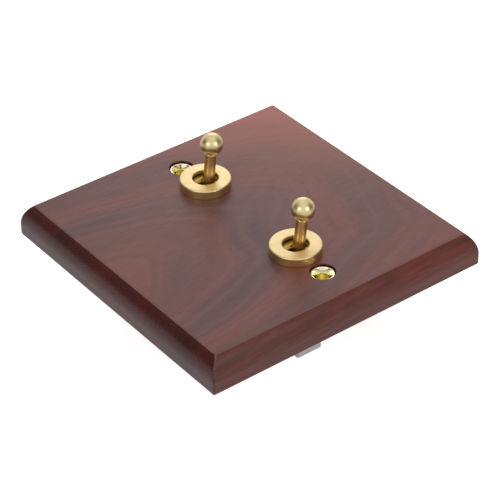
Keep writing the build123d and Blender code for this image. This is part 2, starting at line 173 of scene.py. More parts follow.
def make_piece(name, points, faces):
    """A mesh object at the origin, its doubles merged and its faces turned outwards. Points are in mm."""
    mesh = bpy.data.meshes.new(name)
    mesh.from_pydata((points * MM).tolist(), [], faces)
    shape = bmesh.new()
    shape.from_mesh(mesh)
    bmesh.ops.remove_doubles(shape, verts=shape.verts, dist=SAME_POINT)
    bmesh.ops.dissolve_degenerate(shape, edges=shape.edges, dist=NO_EDGE)
    bmesh.ops.recalc_face_normals(shape, faces=shape.faces)
    shape.to_mesh(mesh)
    shape.free()
    mesh.shade_smooth()
    piece = bpy.data.objects.new(name, mesh)
    bpy.context.scene.collection.objects.link(piece)
    return piece


print("points closer than", SAME_POINT / MM, "mm become one")

# %% [markdown]
# ## Outlines with broken edges
#
# What tells a real made part from a plain solid is its edges: each one is broken by a small round that
# catches the light. A bevel modifier could do it, but it gives every edge the same round. Here an outline
# is a list of corners, each with its own radius, and the rounds are worked out before the outline is
# carried anywhere.

# %% Round the corners of an outline
CORNER_STEPS = 6
CORNER_MARGIN = 0.04
STRAIGHT = 1e-3


def rounded_corner(here, before, after, radius):
    """The arc that replaces one corner. It starts radius * tan(half the turn) before the corner, and its
    points lie a radius from the centre: centre + cos a * spoke + sin a * the spoke turned by a quarter.
    A point just before the arc and one just after it keep the flats flat when the shading is smoothed."""
    into, out = here - before, after - here
    into, out = into / np.linalg.norm(into), out / np.linalg.norm(out)
    turn = np.arctan2(into[0] * out[1] - into[1] * out[0], into @ out)
    if radius == 0 or abs(turn) < STRAIGHT:
        return here[None]
    start = here - into * radius * abs(np.tan(turn / 2))
    centre = start + np.array([-into[1], into[0]]) * np.sign(turn) * radius
    spoke = start - centre
    across = np.array([-spoke[1], spoke[0]])
    angles = np.linspace(0, turn, CORNER_STEPS + 1)[:, None]
    arc = centre + np.cos(angles) * spoke + np.sin(angles) * across
    return np.concatenate([[start - into * CORNER_MARGIN], arc, [arc[-1] + out * CORNER_MARGIN]])


def rounded_outline(corners):
    """A closed outline from rows of (x, y, radius), each corner replaced by its arc."""
    rows = np.asarray(corners, float)
    points, radii = rows[:, :2], rows[:, 2]
    neighbours = zip(points, np.roll(points, 1, 0), np.roll(points, -1, 0), radii)
    return np.concatenate([rounded_corner(*corner) for corner in neighbours])


sample = rounded_outline([(0, 0, 1), (9, 0, 0), (9, 9, 0), (0, 9, 0)])
print("a square with one round corner has", len(sample), "points")


# %% Draw arcs and bends
def arc_points(centre, radius, start, stop, steps):
    """Part of a circle: centre + radius * (cos a, sin a), for angles from start to stop."""
    angles = np.linspace(start, stop, steps)
    return np.asarray(centre) + radius * np.stack([np.cos(angles), np.sin(angles)], 1)


def bend_points(start, corner, end, steps):
    """A curve from start to end that leans to a corner: (1-t)^2 start + 2t(1-t) corner + t^2 end."""
    t = np.linspace(0, 1, steps)[:, None]
    return (1 - t) ** 2 * start + 2 * t * (1 - t) * corner + t**2 * end


print("half a circle of radius 1 ends at", arc_points((0, 0), 1, 0, np.pi, 5)[-1].round(3))

# %% Carry an outline round an axis
TURN_STEPS = 96


def turned_points(outline, steps):
    """An outline of (radius, height) carried round Z: x = radius cos a, y = radius sin a, z = height."""
    angles = np.linspace(0, 2 * np.pi, steps, endpoint=False)
    radius, height = outline[:, :1], outline[:, 1:]
    return np.stack([radius * np.cos(angles), radius * np.sin(angles), height + 0 * angles], -1)


def placed_piece(name, grid, x, closed, tilt=0.0, pivot=0.0):
    """A grid of points leaned about X by tilt, then lifted to the pivot's height and put at x."""
    lean = np.array(Matrix.Rotation(tilt, 3, "X"))
    points = grid.reshape(-1, 3) @ lean.T + [x, 0, pivot]
    return make_piece(name, points, grid_faces(len(grid), grid.shape[1], closed))


def turned_piece(name, outline, x, closed, steps=TURN_STEPS):
    """An upright turned surface at x. A closed outline makes a ring, an open one ends in two poles."""
    return placed_piece(name, turned_points(np.asarray(outline, float), steps), x, closed)


print("a turned outline takes", TURN_STEPS, "steps round its axis")

# %% [markdown]
# ## A few words for node trees
#
# Shader trees are easier to read when each node takes one line. The first helper makes a node, fills in
# its inputs from a dictionary, and wires up any value that is another node's output. The others name the
# few kinds of arithmetic that the finishes below need.


# %% Make nodes
def new_material(name):
    """A material with its node tree and its Principled shader."""
    material = bpy.data.materials.new(name)
    material.use_nodes = True
    tree = material.node_tree
    return material, tree, tree.nodes["Principled BSDF"]


def node(tree, kind, inputs=None, **settings):
    """A node of one kind. An input is a value, or another node's output socket to wire to it."""
    made = tree.nodes.new("ShaderNode" + kind)
    for name, value in settings.items():
        setattr(made, name, value)
    for name, value in (inputs or {}).items():
        if isinstance(value, bpy.types.NodeSocket):
            tree.links.new(value, made.inputs[name])
        else:
            made.inputs[name].default_value = value
    return made


def dress(piece, material):
    """Gives a piece one material in every slot."""
    piece.data.materials.clear()
    piece.data.materials.append(material)
    return piece


print("node helpers:", [helper.__name__ for helper in (new_material, node, dress)])


# %% Do arithmetic with nodes
def math(tree, operation, a, b=0.0):
    """Arithmetic on one or two numbers."""
    return node(tree, "Math", {0: a, 1: b}, operation=operation).outputs[0]


def vector_math(tree, operation, a, b):
    """Arithmetic on two vectors, part by part."""
    return node(tree, "VectorMath", {0: a, 1: b}, operation=operation).outputs[0]


def length(tree, vector):
    """How long a vector is."""
    return node(tree, "VectorMath", {0: vector}, operation="LENGTH").outputs["Value"]


def split(tree, vector):
    """The x, y and z of a vector."""
    return node(tree, "SeparateXYZ", {0: vector}).outputs


def join(tree, x, y):
    """A vector from its x and y."""
    return node(tree, "CombineXYZ", {0: x, 1: y}).outputs[0]


def spread(tree, value, low, high, to_low=0.0, to_high=1.0):
    """A number moved from one range to another, and held within the new one."""
    inputs = {0: value, 1: low, 2: high, 3: to_low, 4: to_high}
    return node(tree, "MapRange", inputs).outputs[0]


ARITHMETIC = (math, vector_math, length, split, join, spread)
print("arithmetic helpers:", [helper.__name__ for helper in ARITHMETIC])


# %% Take coordinates and noise
MOST_NOISE, MIDDLE_NOISE = (0.3, 0.7), (0.35, 0.65)


def object_mm(tree, scale=(1, 1, 1), centre=(0, 0, 0)):
    """The piece's own coordinates in millimetres, about a centre, stretched by scale."""
    coordinates = node(tree, "TexCoord").outputs["Object"]
    place = [-c * s for c, s in zip(centre, scale)]
    inputs = {"Vector": coordinates, "Scale": [s / MM for s in scale], "Location": place}
    return node(tree, "Mapping", inputs).outputs[0]


def noise(tree, vector, scale=1.0, detail=2.0, roughness=0.5):
    """Smooth noise from 0 to 1, in the units of its vector."""
    inputs = {"Vector": vector, "Scale": scale, "Detail": detail, "Roughness": roughness}
    return node(tree, "TexNoise", inputs).outputs["Fac"]


def line_noise(tree, distance, scale, detail):
    """Smooth noise from 0 to 1 along a single number."""
    inputs = {"W": distance, "Scale": scale, "Detail": detail}
    return node(tree, "TexNoise", inputs, noise_dimensions="1D").outputs["Fac"]


def bumped(tree, height, depth_mm):
    """A normal that tips as height climbs. Depth is in millimetres."""
    return node(tree, "Bump", {"Height": height, "Distance": depth_mm * MM, "Strength": 1.0}).outputs[0]


print("noise runs from 0 to 1, but most of it lies between", MOST_NOISE)


# %% Mix colours
def linear(red, green, blue):
    """A colour as seen on a screen, 0 to 255, as the linear light that a shader wants: each part s of 1 is
    s / 12.92 in the darkest range, and ((s + 0.055) / 1.055) to the power 2.4 above it."""
    screen = np.array([red, green, blue]) / 255
    return tuple(np.where(screen <= 0.04045, screen / 12.92, ((screen + 0.055) / 1.055) ** 2.4).tolist())


def mixed(tree, factor, a, b, blend_type="MIX"):
    """Two colours mixed by a factor."""
    made = node(tree, "Mix", data_type="RGBA", blend_type=blend_type)
    for socket, value in ((made.inputs[0], factor), (made.inputs[6], a), (made.inputs[7], b)):
        if isinstance(value, bpy.types.NodeSocket):
            tree.links.new(value, socket)
        else:
            socket.default_value = value if isinstance(value, (int, float)) else (*value, 1.0)
    return made.outputs[2]


def layer(tree, colour, value, start, full, share, tint):
    """A tint laid over a colour: none of it where the value is at start, and a share of it from full on."""
    return mixed(tree, spread(tree, value, start, full, 0.0, share), colour, tint)


print("a mid grey on a screen is", round(linear(128, 128, 128)[0], 3), "in linear light")

# %% [markdown]
# ## Walnut: the rings
#
# Wood is a solid pattern, so it is best made in three dimensions: then the rounded edges and the end
# grain follow by themselves. A board is cut from rings round the tree's pith. Here the pith lies under
# the plate and dips towards +Y, which draws the nested arches across the middle of the face. A slow noise
# moves each point a few millimetres first, so that no ring is a true circle.

# %% Measure the way to the pith
PITH_X = 3.0
PITH_DEPTH = 21.0
PITH_SLOPE = 0.467
WANDER_SCALE = (0.035, 0.02, 0.035)
WANDER_REACH = (18, 0, 18)


def ring_distance(tree):
    """Distance to the pith in mm: the length of (x - pith x, z + depth), where depth is
    pith depth + slope * y. A slow noise, less its middle of a half, first moves the point."""
    wander_inputs = {"Vector": object_mm(tree, WANDER_SCALE), "Scale": 1.0, "Detail": 1.0}
    wander = node(tree, "TexNoise", wander_inputs).outputs["Color"]
    centred = vector_math(tree, "SUBTRACT", wander, (0.5, 0.5, 0.5))
    shift = vector_math(tree, "MULTIPLY", centred, WANDER_REACH)
    x, y, z = split(tree, vector_math(tree, "ADD", object_mm(tree), shift))
    depth = math(tree, "ADD", math(tree, "MULTIPLY", y, PITH_SLOPE), PITH_DEPTH)
    return length(tree, join(tree, math(tree, "SUBTRACT", x, PITH_X), math(tree, "ADD", z, depth)))


print("under the plate's middle the pith is", PITH_DEPTH, "mm down")

# %% [markdown]
# ## Walnut: the figure
#
# Ring colour is noise along the distance to the pith: wide bands of brown and red, and fine dark and pale
# lines in them. This board also has one grey band, which crosses the face as an arch between the toggles.
# It isn't left to chance: it is a tint that fades with the distance from one chosen ring.

# %% Colour the rings
BAND_BROWN, BAND_RED = linear(101, 57, 55), linear(124, 64, 58)
LINE_DARK, LINE_PALE = linear(70, 42, 42), linear(128, 80, 73)
GREY_BAND = linear(78, 54, 58)
GREY_RING = 31.0
GREY_REACH, GREY_CORE = 6.5, 1.0


def ring_colour(tree, ring):
    """Bands and lines by the distance to the pith, and the grey band round its own ring."""
    bands = line_noise(tree, ring, scale=0.12, detail=1.0)
    lines = line_noise(tree, ring, scale=0.5, detail=2.0)
    off_grey = math(tree, "ABSOLUTE", math(tree, "SUBTRACT", ring, GREY_RING))
    colour = layer(tree, BAND_BROWN, bands, start=0.40, full=0.62, share=1.0, tint=BAND_RED)
    colour = layer(tree, colour, off_grey, start=GREY_REACH, full=GREY_CORE, share=0.65, tint=GREY_BAND)
    colour = layer(tree, colour, lines, start=0.50, full=0.72, share=0.26, tint=LINE_DARK)
    return layer(tree, colour, lines, start=0.46, full=0.28, share=0.25, tint=LINE_PALE)


print("the grey band reaches", GREY_REACH, "mm to each side of its ring")

# %% [markdown]
# ## Walnut: streaks, fibres and pores
#
# Fibres run along the trunk, here along Y. Each kind of mark is the same noise with its coordinates
# stretched: many steps per millimetre across the grain and few along it. Towards its far corner the board
# is painted paler, a painted sheen of the warm light from behind it, and a slow cloud keeps the rest from
# being even.

# %% Add the grain
STREAK_SCALE, STREAK_WARM = (0.5, 0.03, 0.5), linear(124, 72, 62)
FIBRE_SCALE, FIBRE_DARK = (5.5, 0.22, 5.5), linear(60, 34, 32)
PORE_SCALE, PORE_DARK = (8.0, 0.7, 8.0), linear(46, 27, 26)
CLOUD_SCALE, CLOUD_WARM = (0.045, 0.02, 0.045), linear(130, 76, 68)
CLOUD_CENTRE = (40, 0, 0)
PORE_RANGE = (0.67, 0.75)
# painted sheen: the wood is tinted paler towards the far corner, where the light from behind falls
CORNER_SHEEN, CORNER_SHEEN_RANGE = linear(184, 104, 88), (30.0, 85.0)


def grain_noises(tree):
    """Streaks, fibres and pores, as noise drawn out along Y."""
    streaks = noise(tree, object_mm(tree, STREAK_SCALE), detail=4.0, roughness=0.6)
    fibres = noise(tree, object_mm(tree, FIBRE_SCALE), detail=3.0, roughness=0.6)
    pores = noise(tree, object_mm(tree, PORE_SCALE), detail=1.0)
    return streaks, fibres, pores


def grain_colour(tree, colour, streaks, fibres, pores):
    """Streaks, clouds, fibres and pores laid over the rings, then a painted sheen that pales the far corner,
    by y - x in mm.
    """
    clouds = noise(tree, object_mm(tree, CLOUD_SCALE, CLOUD_CENTRE))
    colour = layer(tree, colour, streaks, start=0.30, full=0.70, share=0.18, tint=STREAK_WARM)
    colour = layer(tree, colour, clouds, start=0.42, full=0.72, share=0.30, tint=CLOUD_WARM)
    colour = layer(tree, colour, fibres, start=0.45, full=0.72, share=0.36, tint=FIBRE_DARK)
    colour = layer(tree, colour, pores, *PORE_RANGE, share=0.35, tint=PORE_DARK)
    x, y = split(tree, object_mm(tree))[:2]
    to_corner = math(tree, "SUBTRACT", y, x)
    # painted sheen: paler wood towards the far corner
    return layer(tree, colour, to_corner, *CORNER_SHEEN_RANGE, share=0.8, tint=CORNER_SHEEN)


print("fibres are", round(FIBRE_SCALE[0] / FIBRE_SCALE[1]), "times as long as they are wide")

# %% [markdown]
# ## Walnut: sides and ends
#
# On the two sides along the grain the real board is redder and has dark streaks. On the two ends the
# fibres are cut across, and there the wood is tinted much darker and redder, and it is a little smoother,
# with a satin sheen. The surface normal says which side a point is on, so the tints follow the rounded
# edge by themselves. A little pale wear lies where the face turns into the edge.

# %% Tint the edges
SIDE_TURN = (0.45, 0.65)
SIDE_RED, SIDE_STREAK = (1.0, 0.63, 0.43), linear(54, 25, 21)
SIDE_SLOPE = -0.06
SIDE_ACROSS, SIDE_ALONG = 0.8, 0.07
STREAK_RANGE, STREAK_SHARE = (0.38, 0.66), 0.65
END_RED = (0.40, 0.15, 0.11)
WEAR_PALE, WEAR_LEVEL = linear(176, 132, 118), (0.08, 0.35)
WEAR_START, WEAR_END = (0.80, 0.86), (0.94, 0.985)


def facing(tree, part):
    """How far a surface is turned to one axis: 0 on the flat face, 1 on the sides at either end of it."""
    return spread(tree, math(tree, "ABSOLUTE", part), *SIDE_TURN)


def side_colour(tree, colour, side_grain):
    """Redder wood on the sides, with streaks: noise of (z + slope * y) across the grain and y along it."""
    x, y, z = split(tree, object_mm(tree))
    rising = math(tree, "ADD", z, math(tree, "MULTIPLY", y, SIDE_SLOPE))
    across, along = math(tree, "MULTIPLY", rising, SIDE_ACROSS), math(tree, "MULTIPLY", y, SIDE_ALONG)
    lines = noise(tree, join(tree, across, along), detail=4.0, roughness=0.65)
    streak = math(tree, "MULTIPLY", side_grain, spread(tree, lines, *STREAK_RANGE, 0.0, STREAK_SHARE))
    redder = mixed(tree, side_grain, colour, SIDE_RED, "MULTIPLY")
    return mixed(tree, streak, redder, SIDE_STREAK)


def worn_crease(tree, colour, upward, streaks):
    """Pale wear where the upward part of the normal is between that of the edge and that of the face."""
    past_edge, before_face = spread(tree, upward, *WEAR_START), spread(tree, upward, *WEAR_END, 1.0, 0.0)
    on_crease = math(tree, "MULTIPLY", past_edge, before_face)
    worn = math(tree, "MULTIPLY", on_crease, spread(tree, streaks, *MOST_NOISE, *WEAR_LEVEL))
    return mixed(tree, worn, colour, WEAR_PALE)


print("edge colours begin at a slope of", round(np.degrees(np.arcsin(SIDE_TURN[0]))), "degrees")


# %% Build the walnut
SMOOTH_WOOD, DULL_WOOD = 0.34, 0.46
END_POLISH = 0.11
FIBRE_HEIGHT = 0.35
PORE_DEPTH = 0.012


def walnut():
    """An oiled dark walnut board, from its rings out to its pores and edges."""
    material, tree, shader = new_material("walnut")
    streaks, fibres, pores = grain_noises(tree)
    normal_x, normal_y, normal_z = split(tree, node(tree, "TexCoord").outputs["Normal"])
    side_grain, end_grain = facing(tree, normal_x), facing(tree, normal_y)
    colour = ring_colour(tree, ring_distance(tree))
    colour = grain_colour(tree, colour, streaks, fibres, pores)
    colour = side_colour(tree, colour, side_grain)
    colour = mixed(tree, end_grain, colour, END_RED, "MULTIPLY")
    colour = worn_crease(tree, colour, normal_z, streaks)
    tree.links.new(colour, shader.inputs["Base Color"])
    dull = spread(tree, fibres, *MOST_NOISE, SMOOTH_WOOD, DULL_WOOD)
    polish = math(tree, "MULTIPLY", end_grain, END_POLISH)
    tree.links.new(math(tree, "SUBTRACT", dull, polish), shader.inputs["Roughness"])
    pits = spread(tree, pores, *PORE_RANGE)
    relief = math(tree, "SUBTRACT", math(tree, "MULTIPLY", fibres, FIBRE_HEIGHT), pits)
    tree.links.new(bumped(tree, relief, PORE_DEPTH), shader.inputs["Normal"])
    return material


WALNUT = walnut()
print("walnut nodes:", len(WALNUT.node_tree.nodes))

# %% [markdown]
# ## Brass
#
# Three finishes of one metal. The ring nuts keep the marks of the lathe tool: fine rings about their axis,
# which are noise along the distance from that axis. The levers are smoother, and the lacquered eyelets are
# smooth and pale yellow. All of them have a cloudy roughness, because a hand-polished surface is never
# even. Brass that faces other brass or dark wood looks deeper in colour than brass under open light, and a
# painted shade below a chosen height, standing in for those dark reflections, brings that out on the stems,
# the nuts' sides and the eyelets' tubes.


# %% Make a brass
MARKS_PER_MM = 14.0
SPECKS_PER_MM, SPECK_SHARE = 9.0, 0.3
CLOUDS_PER_MM = 0.35


def lathe_marks(tree, centre):
    """Noise along the distance from an upright axis, plus the height, so that sides are marked as well."""
    x, y, z = split(tree, object_mm(tree, centre=centre))
    along = math(tree, "ADD", length(tree, join(tree, x, y)), z)
    return line_noise(tree, along, scale=MARKS_PER_MM, detail=2.0)


def brass(name, light, dark, smooth, dull, depth, tint, centre=None):
    """Metal with cloudy roughness. A tint is a painted shade: a colour that deepens the metal below a
    height, standing in for the dark reflections there, and the two heights in mm between which it ends. A
    centre adds lathe marks round it."""
    material, tree, shader = new_material(name)
    clouds = noise(tree, object_mm(tree), scale=CLOUDS_PER_MM, detail=3.0, roughness=0.6)
    relief = noise(tree, object_mm(tree), scale=SPECKS_PER_MM, detail=2.0, roughness=0.6)
    reflection_shade, shade_full, shade_end = tint
    height = split(tree, object_mm(tree))[2]
    colour = mixed(tree, spread(tree, clouds, *MIDDLE_NOISE), light, dark)
    # painted shade: the brass is deepened below a height, standing in for the dark wood and brass it
    # reflects
    colour = mixed(tree, spread(tree, height, shade_full, shade_end, 1.0, 0.0), colour, reflection_shade, "MULTIPLY")
    tree.links.new(colour, shader.inputs["Base Color"])
    tree.links.new(spread(tree, clouds, *MOST_NOISE, smooth, dull), shader.inputs["Roughness"])
    if centre is not None:
        relief = math(tree, "ADD", lathe_marks(tree, centre), math(tree, "MULTIPLY", relief, SPECK_SHARE))
    tree.links.new(bumped(tree, relief, depth), shader.inputs["Normal"])
    shader.inputs["Metallic"].default_value = 1.0
    return material


print("lathe marks are about", round(1 / MARKS_PER_MM, 2), "mm apart")


# %% Build the brasses
LEVER_BRASS = brass(
    "lever_brass",
    light=linear(228, 208, 160),
    dark=linear(218, 196, 142),
    smooth=0.29,
    dull=0.36,
    depth=0.003,
    # painted shade of the dark reflections low on the stem
    tint=((0.95, 0.82, 0.58), 18.0, 21.5),
)
EYELET_BRASS = brass(
    "eyelet_brass",
    light=linear(255, 250, 224),
    dark=linear(252, 243, 208),
    smooth=0.14,
    dull=0.20,
    depth=0.002,
    # painted shade of the reflections inside the tube
    tint=((1.0, 0.96, 0.58), 7.3, 8.1),
)
NUT_BRASS = {
    side: brass(
        f"{side}_nut_brass",
        light=linear(228, 208, 162),
        dark=linear(220, 198, 148),
        smooth=0.36,
        dull=0.44,
        depth=0.008,
        # painted shade of the wood mirrored in the nut's side
        tint=((0.96, 0.84, 0.60), 11.4, 11.9),
        centre=(TOGGLE_X[side], 0, 0),
    )
    for side in SIDES
}
print("brasses:", LEVER_BRASS.name, EYELET_BRASS.name, [finish.name for finish in NUT_BRASS.values()])

# %% [markdown]
# ## Plain finishes
#
# The pieces behind the plate are zinc-plated steel, milled brass, silver, nylon and white moulded
# plastic. They hardly show, so they need no surfaces of their own: the CAD nodes stay, and one function
# covers their finishes with two tints, a range of roughness and the size of the mottling.


# %% Build the plain finishes
GRAINS_PER_MM, GRAIN_DEPTH = 6.0, 0.004
METAL = 1.0


def plain_finish(name, light, dark, smooth, dull, mottle_mm, metallic=0.0):
    """A finish whose tint and roughness drift between two values over a few millimetres. The two tints are
    colours as seen on a screen."""
    material, tree, shader = new_material(name)
    drift = noise(tree, object_mm(tree), scale=1 / mottle_mm, detail=3.0, roughness=0.55)
    grain = noise(tree, object_mm(tree), scale=GRAINS_PER_MM, detail=3.0, roughness=0.6)
    colour = mixed(tree, spread(tree, drift, *MIDDLE_NOISE), linear(*light), linear(*dark))
    tree.links.new(colour, shader.inputs["Base Color"])
    tree.links.new(spread(tree, grain, *MOST_NOISE, smooth, dull), shader.inputs["Roughness"])
    tree.links.new(bumped(tree, grain, GRAIN_DEPTH), shader.inputs["Normal"])
    shader.inputs["Metallic"].default_value = metallic
    return material


ZINC = plain_finish("zinc_steel", (186, 190, 194), (164, 166, 166), 0.26, 0.42, 3.0, METAL)
MILLED_BRASS = plain_finish("milled_brass", (208, 178, 104), (184, 150, 82), 0.30, 0.45, 2.0, METAL)
SILVER = plain_finish("contact_silver", (214, 214, 210), (186, 184, 178), 0.35, 0.5, 1.0, METAL)
NYLON = plain_finish("nylon", (226, 222, 208), (214, 208, 190), 0.42, 0.55, 1.5)
PLASTIC = plain_finish("white_plastic", (246, 245, 245), (238, 237, 237), 0.28, 0.38, 6.0)
print("plain finishes:", [finish.name for finish in (ZINC, MILLED_BRASS, SILVER, NYLON, PLASTIC)])

# %% Dress the CAD nodes
FINISHES = {
    "washer": ZINC,
    "bushing": MILLED_BRASS,
    "pivot_pin": ZINC,
    "plunger": NYLON,
    "plunger_spring": ZINC,
    "rocker": MILLED_BRASS,
    "rocker_buttons": SILVER,
    "frame": ZINC,
    "case": PLASTIC,
    "common_terminal": MILLED_BRASS,
    "front_terminal": MILLED_BRASS,
    "back_terminal": MILLED_BRASS,
    "fixed_buttons": SILVER,
    "terminal_screws": ZINC,
}

for side in SIDES:
    for part, finish in FINISHES.items():
        dress(frame["nodes"][f"{side}_{part}"], finish)
print("CAD nodes dressed:", len(SIDES) * len(FINISHES))

# %% [markdown]
# ## The plate
#
# The plate's edge is one outline: a short upright, a long round, a soft crease and the flat face. We
# carry it round a square. Each point of the outline is a square of its own, as far in from the edge as
# the outline says, and the corners of those squares line up into crisp mitres.

# %% Draw the plate's edge
PLATE_HALF = PLATE_HIGH[0]
PLATE_MIDDLE_Y = (PLATE_LOW[1] + PLATE_HIGH[1]) / 2
PLATE_THICK = PLATE_HIGH[2]
EDGE_HEIGHT = 3.2
EDGE_RADIUS = 8.0
CREASE_RADIUS = 0.8
FOOT_RADIUS = 0.5
EDGE_STEPS, CREASE_STEPS, FOOT_STEPS = 15, 7, 6


def edge_outline():
    """The plate's edge as (inset, height), from under the plate, round the edge and onto the face. The arc
    climbs from the upright until radius * sin(sweep) is the rest of the thickness, and a bend that reaches
    crease radius * tan(half the turn) both ways softens its end. Two points of the arc make way for it."""
    sweep = np.arcsin((PLATE_THICK - EDGE_HEIGHT) / EDGE_RADIUS)
    foot = arc_points((FOOT_RADIUS, FOOT_RADIUS), FOOT_RADIUS, 1.5 * np.pi, np.pi, FOOT_STEPS)
    arc = arc_points((EDGE_RADIUS, EDGE_HEIGHT), EDGE_RADIUS, np.pi, np.pi - sweep, EDGE_STEPS)
    reach = CREASE_RADIUS * np.tan((np.pi / 2 - sweep) / 2)
    crease = arc[-1]
    climbing, level = np.array([np.sin(sweep), np.cos(sweep)]), np.array([1, 0])
    soft = bend_points(crease - reach * climbing, crease, crease + reach * level, CREASE_STEPS)
    return np.concatenate([foot, arc[:-2], soft])


print("the edge ends", edge_outline()[-1, 0].round(2), "mm in from the plate's side")

# %% Carry the edge round the square
MITRE_RADIUS = 0.45
MITRE_STEPS = 6


def square_rings(outline):
    """A square with round corners for each (inset, height) of an outline: four quarter circles, whose
    centres lie half the side - inset - mitre radius from the middle, both ways."""
    signs = np.array([(1, 1), (-1, 1), (-1, -1), (1, -1)])
    inset, height = outline[:, 0], outline[:, 1]
    centres = signs * (PLATE_HALF - inset - MITRE_RADIUS)[:, None, None]
    angles = np.arange(4)[:, None] * np.pi / 2 + np.linspace(0, np.pi / 2, MITRE_STEPS)
    quarters = MITRE_RADIUS * np.stack([np.cos(angles), np.sin(angles)], -1)
    flat = (centres[:, :, None] + quarters).reshape(len(outline), -1, 2)
    lifted = np.broadcast_to(height[:, None, None], (*flat.shape[:2], 1))
    return np.concatenate([flat, lifted], -1)


def stacked_piece(name, rings):
    """A closed piece: rings of points one above the other, joined by sides and closed by two flat ends."""
    rows, columns = rings.shape[:2]
    last = rows * columns
    ends = [list(range(columns)), list(range(last - columns, last))]
    return make_piece(name, rings.reshape(-1, 3), grid_faces(rows, columns, False) + ends)


plate = stacked_piece("plate_wood", square_rings(edge_outline()) + [0, PLATE_MIDDLE_Y, 0])
print("plate before its holes:", len(plate.data.polygons), "faces")

# %% [markdown]
# ## The plate's holes
#
# A joiner drills the holes and routs a pocket behind, and the mesh is made the same way. Plain turned
# cutters open the stepped toggle holes and the counterbored eyelet holes, and a rounded block opens the
# pocket. The open end of each cutter stands clear of the wood, so that no two faces lie in one plane.

# %% Make the cutters
OVERCUT = 1.0


def disc_cutter(x, radius, low, high):
    """A plain turned cutter between two heights."""
    return turned_piece("cutter", [(0, low), (radius, low), (radius, high), (0, high)], x, False)


def pocket_cutter(half_x, half_y, corner, top):
    """A block with round upright edges, from below the plate to the pocket's ceiling."""
    signs = ((-1, -1), (1, -1), (1, 1), (-1, 1))
    loop = rounded_outline([(sx * half_x, sy * half_y, corner) for sx, sy in signs])
    rings = np.stack([np.column_stack([loop, np.full(len(loop), z)]) for z in (-OVERCUT, top)])
    return stacked_piece("cutter", rings)


def cut(piece, cutter):
    """Takes the cutter out of the piece for good, and removes it."""
    modifier = piece.modifiers.new("cut", "BOOLEAN")
    modifier.operation = "DIFFERENCE"
    modifier.solver = "EXACT"
    modifier.object = cutter
    bpy.context.view_layer.objects.active = piece
    bpy.ops.object.modifier_apply(modifier=modifier.name)
    bpy.data.objects.remove(cutter)


print("cutters stand clear of the wood by", OVERCUT, "mm")

# %% Cut the pocket and the holes
NUT_LOW, NUT_HIGH = box_mm("left_ring_nut")
EYELET_HIGH = box_mm("left_eyelet")[1]
CASE_LOW, CASE_HIGH = box_mm("left_case")
WASHER_TOP = box_mm("left_washer")[1][2]
POCKET_ROOM_X, POCKET_ROOM_Y = 1.2, 2.0
POCKET_HALF_X = TOGGLE_X["right"] + (CASE_HIGH[0] - CASE_LOW[0]) / 2 + POCKET_ROOM_X
POCKET_HALF_Y = CASE_HIGH[1] + POCKET_ROOM_Y
POCKET_CORNER = 4.0
POCKET_INSIDE = 1.0
TOGGLE_HOLE = 5.15
SPIGOT_HOLE = 5.9
EYELET_HOLE = 2.45
COUNTERBORE = 3.4
EYELET_RIM_THICKNESS = 0.5

cut(plate, pocket_cutter(POCKET_HALF_X, POCKET_HALF_Y, POCKET_CORNER, WASHER_TOP))
above = PLATE_THICK + OVERCUT
for side in SIDES:
    cut(plate, disc_cutter(TOGGLE_X[side], TOGGLE_HOLE, POCKET_INSIDE, above))
    cut(plate, disc_cutter(TOGGLE_X[side], SPIGOT_HOLE, NUT_LOW[2], above))
    cut(plate, disc_cutter(EYELET_X[side], EYELET_HOLE, -OVERCUT, above))
    cut(plate, disc_cutter(EYELET_X[side], COUNTERBORE, EYELET_HIGH[2] - EYELET_RIM_THICKNESS, above))
print("plate with its holes:", len(plate.data.polygons), "faces")

# %% Finish the plate
SHARP_PLATE = 28
LARGE_FACE = 20 * MM * MM


def sharpen_flats(mesh, area):
    """Marks the border of each large flat face as sharp, so that smooth shading leaves the face flat."""
    large = {edge for face in mesh.polygons if face.area > area for edge in face.edge_keys}
    for edge in mesh.edges:
        if tuple(sorted(edge.vertices)) in large:
            edge.use_edge_sharp = True


plate.data.shade_smooth()
plate.data.set_sharp_from_angle(angle=np.radians(SHARP_PLATE))
sharpen_flats(plate.data, LARGE_FACE)
dress(plate, WALNUT)
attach(plate, "housing")
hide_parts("plate")
print("sharp edges:", sum(edge.use_edge_sharp for edge in plate.data.edges))

# %% [markdown]
# ## The ring nuts
#
# A ring nut is turned from bar: a flange that lies on the wood, a spigot that centres it in the hole, and
# a thread that nobody sees, under a thin lip. It is one closed outline carried round the toggle's axis.
# The outer top edge has the largest round, and draws the bright line round the ring.

# %% Make the ring nuts
NUT_RADIUS = NUT_HIGH[0] - TOGGLE_X["left"]
NUT_OPENING = 3.5
NUT_THREAD = 5.05
NUT_SPIGOT = 5.8
NUT_LIP = 0.9
NUT_OUTER_ROUND, NUT_INNER_ROUND = 0.38, 0.28
NUT_SEAT_ROUND, SPIGOT_ROUND, HIDDEN_ROUND = 0.15, 0.2, 0.1
NUT_STEPS = 128


def make_ring_nut(side):
    """A lipped ring on the face, with a spigot down into the plate."""
    low, top = NUT_LOW[2], NUT_HIGH[2]
    corners = [
        (NUT_THREAD, low, HIDDEN_ROUND),
        (NUT_SPIGOT, low, SPIGOT_ROUND),
        (NUT_SPIGOT, PLATE_THICK, HIDDEN_ROUND),
        (NUT_RADIUS, PLATE_THICK, NUT_SEAT_ROUND),
        (NUT_RADIUS, top, NUT_OUTER_ROUND),
        (NUT_OPENING, top, NUT_INNER_ROUND),
        (NUT_OPENING, top - NUT_LIP, HIDDEN_ROUND),
        (NUT_THREAD, top - NUT_LIP, HIDDEN_ROUND),
    ]
    nut = turned_piece(f"{side}_ring", rounded_outline(corners), TOGGLE_X[side], True, NUT_STEPS)
    dress(nut, NUT_BRASS[side])
    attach(nut, "housing")
    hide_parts(f"{side}_ring_nut")
    return nut


